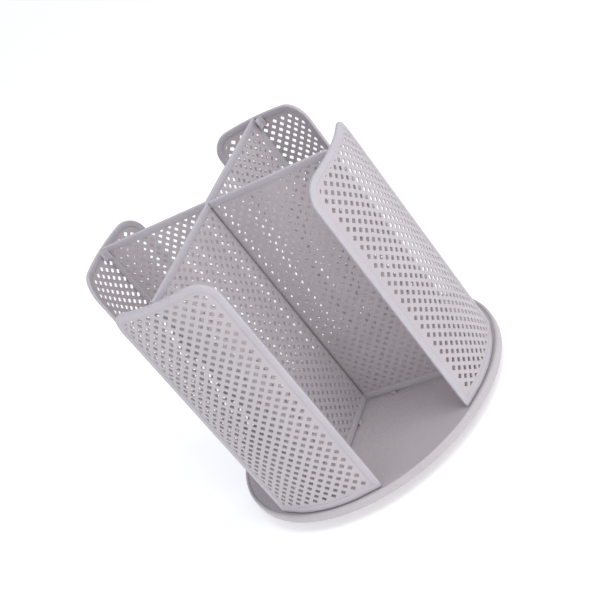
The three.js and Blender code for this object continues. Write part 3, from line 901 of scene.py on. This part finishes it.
def foot_plate():
    skirt = foot_low.z
    inner = FOOT_RADIUS - FOOT_PLATE
    profile = [(FOOT_BORE, boss_under), (14.2, boss_under), (14.8, boss_under - 0.15)]
    profile += [(17.1, foot_under + 0.2), (17.7, foot_under), (FOOT_RADIUS - 1.9, foot_under)]
    profile += [(FOOT_RADIUS - 1.35, foot_under - 0.2), (inner, foot_under - 0.6)]
    profile += [(inner, skirt + 0.2), (FOOT_RADIUS - 1.0, skirt), (FOOT_RADIUS - 0.25, skirt)]
    profile += [(FOOT_RADIUS, skirt + 0.25)]
    profile += arc(inner, foot_top - FOOT_PLATE, FOOT_PLATE, 0, 90, 6)
    profile += [(18.4, foot_top), (17.8, foot_top + 0.2), (15.2, boss_top - 0.25), (14.6, boss_top)]
    profile += [(FOOT_BORE, boss_top)]
    points, faces = lathe(profile, 200)
    obj = make_object("foot_disc", points, faces, foot_paint, sharp=30)
    settle(obj, "foot", "foot_paint", "foot_plate")


foot_plate()

for k in range(4):
    low, high = box_mm(f"foot_pad_{k + 1}")
    radius = (high.x - low.x) / 2
    profile = [(0, high.z), (radius - 0.3, high.z), (radius, high.z - 0.3), (radius, 0.6)]
    profile += arc(radius - 0.6, 0.6, 0.6, 0, -90, 5)[1:]
    profile += [(radius - 1.5, 0.0), (radius - 1.9, 0.25), (0, 0.25)]  # a dish under the pad
    points, faces = lathe(profile, 64, closed=False)
    points = moved(points, (low.x + high.x) / 2, (low.y + high.y) / 2)
    pad = make_object(f"rubber_pad_{k + 1}", points, faces, rubber)
    settle(pad, "foot", "rubber", f"foot_pad_{k + 1}")

for k in range(4):
    low, high = box_mm(f"race_rivet_{k + 1}")
    head_top = foot_under - 0.02
    profile = [(0, low.z)]
    for i in range(1, 9):
        a = QUARTER * i / 8
        profile.append((RIVET_HEAD * math.sin(a), head_top - (head_top - low.z) * math.cos(a)))
    profile += [(RIVET_SHANK, head_top), (RIVET_SHANK, high.z - 0.2), (RIVET_SHANK - 0.2, high.z)]
    profile += [(0, high.z)]
    points, faces = lathe(profile, 40, closed=False)
    points = moved(points, (low.x + high.x) / 2, (low.y + high.y) / 2)
    rivet = make_object(f"rivet_{k + 1}", points, faces, zinc_plate)
    settle(rivet, "foot", "zinc_plate", f"race_rivet_{k + 1}")


# ---- Pivot -----------------------------------------------------------------------------------
STUD_RADIUS = 3.0
STUD_CHAMFER = 0.4
HEAD_RADIUS = 7.0  # of the stud's head and of the washer
HEAD_THICK = 1.0
STUD_HOLE = 3.12  # through the washer and the nut
BUSH_HOLE = 3.1
BUSH_SLEEVE = 4.5
BUSH_FLANGE, BUSH_FLANGE_THICK = 6.7, 0.8
NUT_HALF = 5.0  # from the axis to a flat
NUT_SEGMENTS = 96


def simple_lathe(name, node, profile, material_of, body, slot):
    points, faces = lathe(profile, 72, closed=profile[0][0] > 1e-6)
    obj = make_object(name, points, faces, material_of, sharp=28)
    settle(obj, body, slot, node)


low, high = box_mm("pivot_stud")
under_head = high.z - HEAD_THICK
profile = [(0, low.z), (STUD_RADIUS - STUD_CHAMFER, low.z), (STUD_RADIUS, low.z + STUD_CHAMFER),
           (STUD_RADIUS, under_head), (HEAD_RADIUS - 0.2, under_head),
           (HEAD_RADIUS, under_head + 0.2), (HEAD_RADIUS, high.z - 0.2),
           (HEAD_RADIUS - 0.2, high.z), (0, high.z)]
simple_lathe("pivot_pin", "pivot_stud", profile, zinc_plate, "carousel", "zinc_plate")
low, high = box_mm("pivot_washer")
profile = [(STUD_HOLE, low.z), (HEAD_RADIUS - 0.2, low.z), (HEAD_RADIUS, low.z + 0.15),
           (HEAD_RADIUS, high.z - 0.15), (HEAD_RADIUS - 0.2, high.z), (STUD_HOLE, high.z)]
simple_lathe("pivot_ring", "pivot_washer", profile, zinc_plate, "carousel", "zinc_plate")
low, high = box_mm("pivot_bush")
flange_top = low.z + BUSH_FLANGE_THICK
profile = [(BUSH_HOLE, low.z + 0.2), (BUSH_HOLE + 0.2, low.z), (BUSH_FLANGE - 0.2, low.z),
           (BUSH_FLANGE, low.z + 0.2), (BUSH_FLANGE, flange_top - 0.1),
           (BUSH_FLANGE - 0.1, flange_top),
           (BUSH_SLEEVE, flange_top), (BUSH_SLEEVE, high.z - 0.25), (BUSH_SLEEVE - 0.25, high.z),
           (BUSH_HOLE + 0.2, high.z), (BUSH_HOLE, high.z - 0.2)]
simple_lathe("nylon_bush", "pivot_bush", profile, nylon, "foot", "nylon")


def nut():
    """A lock nut: hexagonal, and chamfered at both ends."""
    low, high = box_mm("pivot_lock_nut")
    face_circle = NUT_HALF * 0.94
    slope = math.tan(math.radians(30))
    points = []

    def ring(radius_of, height_of):
        for i in range(NUT_SEGMENTS):
            a = 2 * math.pi * i / NUT_SEGMENTS
            r = radius_of(a)
            points.append((r * math.cos(a), r * math.sin(a), height_of(r)))

    def hexagon(a):
        return NUT_HALF / math.cos((a + math.pi / 6) % (math.pi / 3) - math.pi / 6)

    ring(lambda a: STUD_HOLE, lambda r: low.z)
    ring(lambda a: face_circle, lambda r: low.z)
    ring(hexagon, lambda r: low.z + (r - face_circle) * slope)
    ring(hexagon, lambda r: high.z - (r - face_circle) * slope)
    ring(lambda a: face_circle, lambda r: high.z)
    ring(lambda a: STUD_HOLE, lambda r: high.z)
    faces = ring_faces(6, NUT_SEGMENTS, closed=True)
    obj = make_object("lock_nut", points, faces, zinc_plate, sharp=25)
    settle(obj, "carousel", "zinc_plate", "pivot_lock_nut")


nut()


# ---- Stage, light and camera -----------------------------------------------------------------
FLOOR_HALF = 9.0  # metres
FLOOR_STEPS = 24
FLOOR_GLOW = 0.38
WORLD_COLOUR = (0.955, 0.985, 1.075)
WORLD_STRENGTH = 0.665
LIGHT_TARGET = Vector((0, 0, 0.09))


def floor():
    places = [(i / FLOOR_STEPS - 0.5) * 2 * FLOOR_HALF for i in range(FLOOR_STEPS + 1)]
    points = [(x, y, 0.0) for y in places for x in places]
    row = FLOOR_STEPS + 1
    faces = [[j * row + i, j * row + i + 1, (j + 1) * row + i + 1, (j + 1) * row + i]
             for j in range(FLOOR_STEPS) for i in range(FLOOR_STEPS)]
    paint = bpy.data.materials.new("pale_floor")
    paint.use_nodes = True
    shader = paint.node_tree.nodes["Principled BSDF"]
    shader.inputs["Base Color"].default_value = (0.9, 0.9, 0.9, 1)
    shader.inputs["Roughness"].default_value = 0.9
    shader.inputs["Specular IOR Level"].default_value = 0.1
    shader.inputs["Emission Color"].default_value = (1, 1, 1, 1)
    shader.inputs["Emission Strength"].default_value = FLOOR_GLOW
    obj = make_object("studio_floor", points, faces, paint, scale=1.0, merge=False)
    obj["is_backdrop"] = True


floor()

world = bpy.data.worlds.new("studio")
bpy.context.scene.world = world
world.use_nodes = True
background = world.node_tree.nodes["Background"]
background.inputs["Color"].default_value = (*WORLD_COLOUR, 1)
background.inputs["Strength"].default_value = WORLD_STRENGTH


def soft_light(name, azimuth, elevation, distance, size, power):
    """An area light that faces the object, placed as the camera is: azimuth 0 stands at -Y."""
    a, e = math.radians(azimuth), math.radians(elevation)
    back = Vector((math.sin(a) * math.cos(e), -math.cos(a) * math.cos(e), math.sin(e)))
    data = bpy.data.lights.new(name, "AREA")
    data.shape = "DISK"
    data.size = size
    data.energy = power
    lamp = bpy.data.objects.new(name, data)
    lamp.location = LIGHT_TARGET + back * distance
    lamp.rotation_mode = "QUATERNION"
    lamp.rotation_quaternion = (-back).to_track_quat("-Z", "Y")
    bpy.context.scene.collection.objects.link(lamp)


soft_light("key", 76, 52, 1.7, 1.0, 11.5)
soft_light("fill", 25, 12, 1.8, 1.4, 3)

CAMERA_AZIMUTH = math.radians(38.82)
CAMERA_ELEVATION = math.radians(25.17)
CAMERA_ROLL = math.radians(-38.96)
CAMERA_DISTANCE = 0.8173
CAMERA_TARGET = Vector((0.01055, -0.00137, 0.0972))
CAMERA_LENS = 77.9  # millimetres on a 36 mm sensor

back = Vector((
    math.sin(CAMERA_AZIMUTH) * math.cos(CAMERA_ELEVATION),
    -math.cos(CAMERA_AZIMUTH) * math.cos(CAMERA_ELEVATION),
    math.sin(CAMERA_ELEVATION),
))
level_right = (-back).cross(Vector((0, 0, 1))).normalized()
level_up = level_right.cross(-back)
right = math.cos(CAMERA_ROLL) * level_right + math.sin(CAMERA_ROLL) * level_up
up = -math.sin(CAMERA_ROLL) * level_right + math.cos(CAMERA_ROLL) * level_up
camera_data = bpy.data.cameras.new("camera")
camera_data.lens = CAMERA_LENS
camera_data.sensor_width = 36
camera_data.clip_start, camera_data.clip_end = 0.05, 100
camera = bpy.data.objects.new("camera", camera_data)
place = CAMERA_TARGET + back * CAMERA_DISTANCE
camera.matrix_world = Matrix((
    (right.x, up.x, back.x, place.x),
    (right.y, up.y, back.y, place.y),
    (right.z, up.z, back.z, place.z),
    (0, 0, 0, 1),
))
bpy.context.scene.collection.objects.link(camera)
bpy.context.scene.camera = camera
bpy.context.scene.view_settings.view_transform = "Standard"

low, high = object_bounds()
